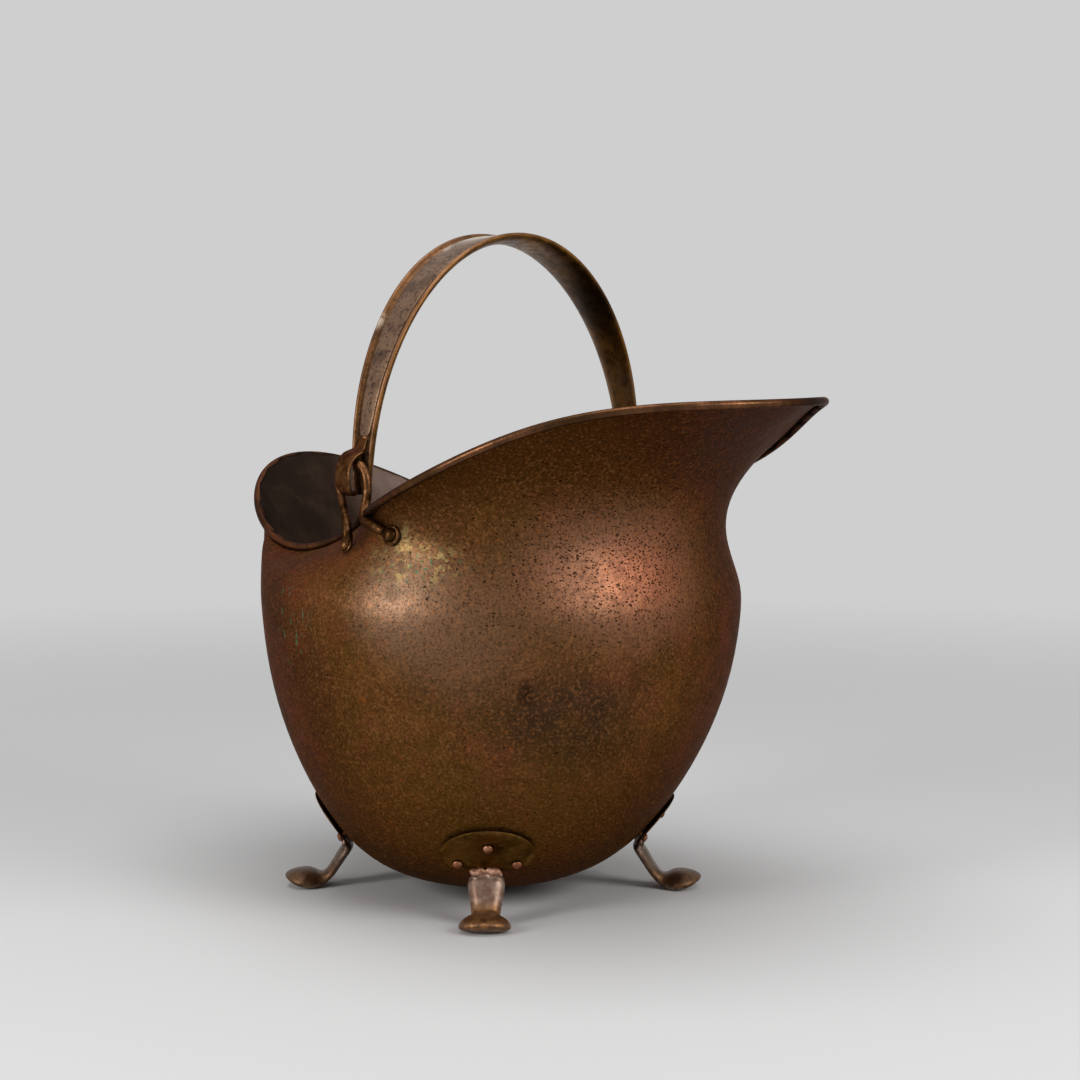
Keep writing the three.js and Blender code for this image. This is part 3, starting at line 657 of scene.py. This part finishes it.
def stretched(piece, heading, sideways, upwards=1.0):
    """Widens a piece across its foot's heading and upwards, about its own middle."""
    bm = bmesh.new()
    bm.from_mesh(piece.data)
    lows = [min(v.co[k] for v in bm.verts) for k in range(3)]
    highs = [max(v.co[k] for v in bm.verts) for k in range(3)]
    middle = Vector([(low + high) / 2 for low, high in zip(lows, highs)])
    turn = Matrix.Translation(middle) @ Matrix.Rotation(heading, 4, "Z")
    bmesh.ops.scale(bm, vec=(1, sideways, upwards), space=turn.inverted(), verts=bm.verts)
    bm.to_mesh(piece.data)
    bm.free()
    return piece


for foot, degrees in HEADINGS.items():
    heading = math.radians(degrees)
    plate = sheet_copy("foot_plate_" + foot, "lobed_plate_" + foot, ROUNDING)
    stretched(plate, heading, PLATE_WIDER, PLATE_TALLER)
    dress(plate, "foot_plate_" + foot, "scuttle", plate_brass)
    leg = stretched(sheet_copy("foot_leg_" + foot, "forged_leg_" + foot, 0), heading, LEG_WIDER)
    bm = bmesh.new()
    bm.from_mesh(leg.data)
    top = max(v.co.z for v in bm.verts)
    ridge = [v.co.copy() for v in bm.verts if v.co.z > top - RIDGE]
    middle = sum(ridge, Vector()) / len(ridge)
    across = Vector((-math.sin(heading), math.cos(heading), 0))
    half = max(abs((corner - middle).dot(across)) for corner in ridge)
    outwards = Vector((math.cos(heading), math.sin(heading), 0))
    # Lumps of braze of uneven size along the ridge, lower towards its ends
    for k in range(BRAZE_BEADS):
        share = 2 * k / (BRAZE_BEADS - 1) - 1
        bead = BRAZE_BEAD + 0.0007 * math.sin(7.3 * k)
        lift = 0.0011 * math.cos(4.1 * k) - 0.0012 * share * share
        spot = middle + across * half * 0.95 * share + outwards * 0.0008 + Vector((0, 0, lift))
        bmesh.ops.create_icosphere(
            bm, subdivisions=2, radius=bead, matrix=Matrix.Translation(spot)
        )
    bm.to_mesh(leg.data)
    bm.free()
    forged(leg, LEG_VOXEL, LEG_SMOOTHING)
    dress(leg, "foot_leg_" + foot, "scuttle", foot_copper)
    for spot in ("top", "left", "right"):
        stud = sheet_copy(f"rivet_{foot}_{spot}", f"plate_stud_{foot}_{spot}", ROUNDING)
        stretched(stud, heading, STUD_WIDER, STUD_WIDER)
        dress(stud, f"rivet_{foot}_{spot}", "scuttle", copper_stud)

# ---------- the handle ----------
# A strip of copper dished into a channel with both edges rolled to a bead, bent into an arch,
# with a second strip soldered along its trough. At each end a tongue of brass hooks the ear.
HANDLE_RISE = 0.167
HANDLE_HALF = 0.021
HANDLE_END_HALF = 0.0088
HANDLE_CORNER = 60
BEAD_FROM = 0.78  # share of the half width at which the rolled bead starts
BEAD_RAMP = 0.12
# Marks of wear and tin, and a darker patch under the back of the arch: the middle in millimetres,
# the reach, and the stretch along x, y and z
TIN_ON_BEAD = ((-33, -99, 404), 11, (0.4, 1, 1))
DARK_BACK = ((-8, 84, 420), 52)
WORN_BACK = ((-8, 128, 360), 36)
TIN_ON_STRIP = ((-30, -42, 455), 18, (0.6, 1, 1))
TIN_AT_CROWN = ((-29, -12, 463), 34)

channel = sheet_copy("handle_channel", "bent_channel", ROUNDING, HANDLE_CORNER)
edges, unders = [], []
for vertex in channel.data.vertices:
    share = max(0.0, (vertex.co.z - PIVOT.z) / HANDLE_RISE)
    half = HANDLE_END_HALF + (HANDLE_HALF - HANDLE_END_HALF) * share
    along_half = abs(vertex.co.x - PIVOT.x) / half
    edges.append(max(0.0, min(1.0, (along_half - BEAD_FROM) / BEAD_RAMP)))
    outwards = Vector((0, vertex.co.y, max(0.0, vertex.co.z - PIVOT.z))).normalized()
    unders.append(1.0 if vertex.normal.dot(outwards) < 0.1 else 0.0)
mark(channel.data, "edge", edges)
mark(channel.data, "under", unders)

# Bent copper polished by hands: brown in the trough, bright pink along the beads, golden brown
# under the arch, with a smear of tin
worn_copper, tree, shader, place = finish_named("bent copper channel, polished by hands")
edge = add(tree, "ShaderNodeAttribute", {"attribute_name": "edge"}).outputs["Fac"]
under = add(tree, "ShaderNodeAttribute", {"attribute_name": "under"}).outputs["Fac"]
golden = patina(
    tree,
    "#5e3c12",
    ("#8a5c20", clouds(tree, place, 0.014, 4)),
    ("#2a1b0e", near(tree, place, *DARK_BACK), 0.85),
    ("#6e523e", near(tree, place, *WORN_BACK), 0.7),
)
colour = patina(
    tree,
    "#4a2f1a",
    ("#6a4729", clouds(tree, place, 0.022, 5, 0.35, 0.6)),
    ("#2f1d10", clouds(tree, place, 0.003, 4, 0.5, 0.66), 0.6),
    ("#8f6444", edge, clouds(tree, place, 0.012, 4, 0.3, 0.6), 0.8),
    ("#b9a896", near(tree, place, *TIN_ON_BEAD), clouds(tree, place, 0.005, 3, 0.35, 0.5)),
    (golden, under),
)
tree.links.new(colour, shader.inputs["Base Color"])
shader.inputs["Metallic"].default_value = 0.85
rough = add(
    tree, "ShaderNodeMapRange", Value=clouds(tree, place, 0.006, 4), To_Min=0.32, To_Max=0.48
)
tree.links.new(rough.outputs["Result"], shader.inputs["Roughness"])
lumps = add(tree, "ShaderNodeTexNoise", Vector=place, Scale=1 / 0.009, Detail=4.0)
relief = add(tree, "ShaderNodeBump", Strength=0.5, Distance=0.0006, Height=lumps.outputs["Fac"])
tree.links.new(relief.outputs[0], shader.inputs["Normal"])
dress(channel, "handle_channel", "handle", worn_copper)

# The strip is copper too, greyed by the tin that it was soldered with, which shows pale and
# bright near the crown
strip_copper, tree, shader, place = finish_named("soldered copper strip, streaked with tin")
colour = patina(
    tree,
    "#5c4230",
    ("#7d6049", clouds(tree, place, 0.014, 5, 0.35, 0.6)),
    ("#2c1b10", clouds(tree, place, 0.0028, 4, 0.52, 0.64), 0.75),
    ("#c9bcaa", near(tree, place, *TIN_ON_STRIP), clouds(tree, place, 0.006, 4, 0.35, 0.55)),
    ("#d8cdbd", near(tree, place, *TIN_AT_CROWN), clouds(tree, place, 0.009, 4, 0.2, 0.4)),
)
tree.links.new(colour, shader.inputs["Base Color"])
shader.inputs["Metallic"].default_value = 0.65
shader.inputs["Roughness"].default_value = 0.42
lumps = add(tree, "ShaderNodeTexNoise", Vector=place, Scale=1 / 0.004, Detail=4.0)
relief = add(tree, "ShaderNodeBump", Strength=0.6, Distance=0.0006, Height=lumps.outputs["Fac"])
tree.links.new(relief.outputs[0], shader.inputs["Normal"])
strip = sheet_copy("handle_strip", "soldered_strip", ROUNDING, HANDLE_CORNER)
dress(strip, "handle_strip", "handle", strip_copper)

# The tongue leaves the trough, spreads into a leaf and curls back through the eye; stations are
# y, z and half the width in millimetres, on the right side
TONGUE = (
    (-126.2, 327.2, 4.2),
    (-128.2, 322.6, 4.6),
    (-131.0, 319.6, 6.2),
    (-134.2, 318.2, 9.4),
    (-138.4, 316.8, 8.8),
    (-142.4, 313.0, 7.7),
    (-144.8, 307.2, 7.5),
    (-145.5, 301.0, 7.8),
    (-144.6, 295.0, 7.6),
    (-141.8, 290.8, 6.4),
    (-138.0, 289.6, 4.8),
    (-134.8, 290.6, 3.0),
    (-132.6, 292.6, 1.2),
)
TONGUE_THICKNESS = 0.0021
TONGUE_ROUNDING = 3

for side in ("left", "right"):
    bm = bmesh.new()
    x, (y, z, half) = PIVOT.x, [n / 1000 for n in TONGUE[0]]
    row = [bm.verts.new((x + share * half, y, z)) for share in (-1, -0.5, 0, 0.5, 1)]
    edges = [bm.edges.new(pair) for pair in zip(row, row[1:])]
    for before, after in zip(TONGUE, TONGUE[1:]):
        made = bmesh.ops.extrude_edge_only(bm, edges=edges)["geom"]
        row = [part for part in made if isinstance(part, bmesh.types.BMVert)]
        edges = [part for part in made if isinstance(part, bmesh.types.BMEdge)]
        edges = [edge for edge in edges if all(v in row for v in edge.verts)]
        step = Vector((0, after[0] - before[0], after[1] - before[1])) / 1000
        bmesh.ops.translate(bm, vec=step, verts=row)
        centred = Matrix.Translation((-x, 0, 0))
        bmesh.ops.scale(bm, vec=(after[2] / before[2], 1, 1), space=centred, verts=row)
    hook = object_from(bm, "tongue_hook_" + side, side == "left")
    body = hook.modifiers.new("thickness", "SOLIDIFY")
    body.thickness = TONGUE_THICKNESS
    body.offset = 0.0
    soft = hook.modifiers.new("rounding", "SUBSURF")
    soft.levels = soft.render_levels = TONGUE_ROUNDING
    dress(hook, "handle_hook_" + side, "handle", brown_brass)

# ---------- floor, lights and camera ----------
# A plain pale floor that fades into a plain pale backdrop, two soft boxes at the sides and a
# broad one overhead.
FLOOR_HALF = 12
FADE = (0.4, 2.0)  # metres from the object between which the floor turns to the backdrop
BACKDROP = "#cfcfcf"
WORLD_STRENGTH = 0.38

bm = bmesh.new()
bmesh.ops.create_grid(bm, x_segments=1, y_segments=1, size=FLOOR_HALF)
floor_mesh = bpy.data.meshes.new("floor")
bm.to_mesh(floor_mesh)
bm.free()
floor = bpy.data.objects.new("floor", floor_mesh)
bpy.context.scene.collection.objects.link(floor)
# Matt studio paper, pale and even, which takes the object's soft shadow
pale, tree, shader, place = finish_named("pale studio paper")
shader.inputs["Base Color"].default_value = linear("#d6d6d6")
shader.inputs["Roughness"].default_value = 0.8
far = add(tree, "ShaderNodeVectorMath", {"operation": "LENGTH"}, in0=place).outputs["Value"]
fade = add(
    tree,
    "ShaderNodeMapRange",
    {"interpolation_type": "SMOOTHSTEP"},
    Value=far,
    From_Min=FADE[0],
    From_Max=FADE[1],
).outputs["Result"]


def seen_or_mirrored(tree):
    """1 for rays that only show a background, to the camera or in a glossy surface."""
    rays = add(tree, "ShaderNodeLightPath")
    return add(
        tree,
        "ShaderNodeMath",
        {"operation": "MAXIMUM"},
        in0=rays.outputs["Is Camera Ray"],
        in1=rays.outputs["Is Glossy Ray"],
    ).outputs[0]


hazy = add(
    tree,
    "ShaderNodeMath",
    {"operation": "MULTIPLY", "use_clamp": True},
    in0=fade,
    in1=seen_or_mirrored(tree),
).outputs[0]
haze = add(tree, "ShaderNodeEmission", Color=linear(BACKDROP), Strength=1.0)
output = next(n for n in tree.nodes if n.type == "OUTPUT_MATERIAL")
blend = add(
    tree, "ShaderNodeMixShader", in0=hazy, in1=shader.outputs[0], in2=haze.outputs[0]
)
tree.links.new(blend.outputs[0], output.inputs["Surface"])
floor_mesh.materials.append(pale)

world = bpy.data.worlds.new("studio")
bpy.context.scene.world = world
world.use_nodes = True
tree = world.node_tree
tree.nodes.clear()
around = add(tree, "ShaderNodeBackground", Color=linear("#c9c9c9"), Strength=WORLD_STRENGTH)
backdrop = add(tree, "ShaderNodeBackground", Color=linear(BACKDROP), Strength=1.0)
both = add(
    tree,
    "ShaderNodeMixShader",
    in0=seen_or_mirrored(tree),
    in1=around.outputs[0],
    in2=backdrop.outputs[0],
)
add(tree, "ShaderNodeOutputWorld", Surface=both.outputs[0])


def soft_box(name, direction, distance, width, height, power):
    data = bpy.data.lights.new(name, "AREA")
    data.shape = "RECTANGLE"
    data.size, data.size_y = width, height
    data.energy = power
    lamp = bpy.data.objects.new(name, data)
    bpy.context.scene.collection.objects.link(lamp)
    towards = Vector(direction).normalized()
    lamp.location = towards * distance + Vector((0, 0, 0.2))
    lamp.rotation_euler = towards.to_track_quat("Z", "Y").to_euler()


soft_box("left box", (-0.1, -0.98, 0.3), 1.9, 0.55, 0.8, 15)
soft_box("right box", (0.97, 0.16, 0.47), 1.9, 1.0, 0.8, 15)
soft_box("overhead box", (0.1, -0.1, 1.0), 2.2, 1.8, 1.8, 30)

camera_data = bpy.data.cameras.new("camera")
camera_data.sensor_width = 36
camera_data.lens = 82.36
camera_data.clip_end = 100
camera = bpy.data.objects.new("camera", camera_data)
camera.location = (1.2530, -1.1890, 0.41065)
aim = Vector((0.00944, 0.01063, 0.2518)) - camera.location
camera.rotation_euler = aim.to_track_quat("-Z", "Y").to_euler()
bpy.context.scene.collection.objects.link(camera)
bpy.context.scene.camera = camera
bpy.context.scene.view_settings.view_transform = "Standard"
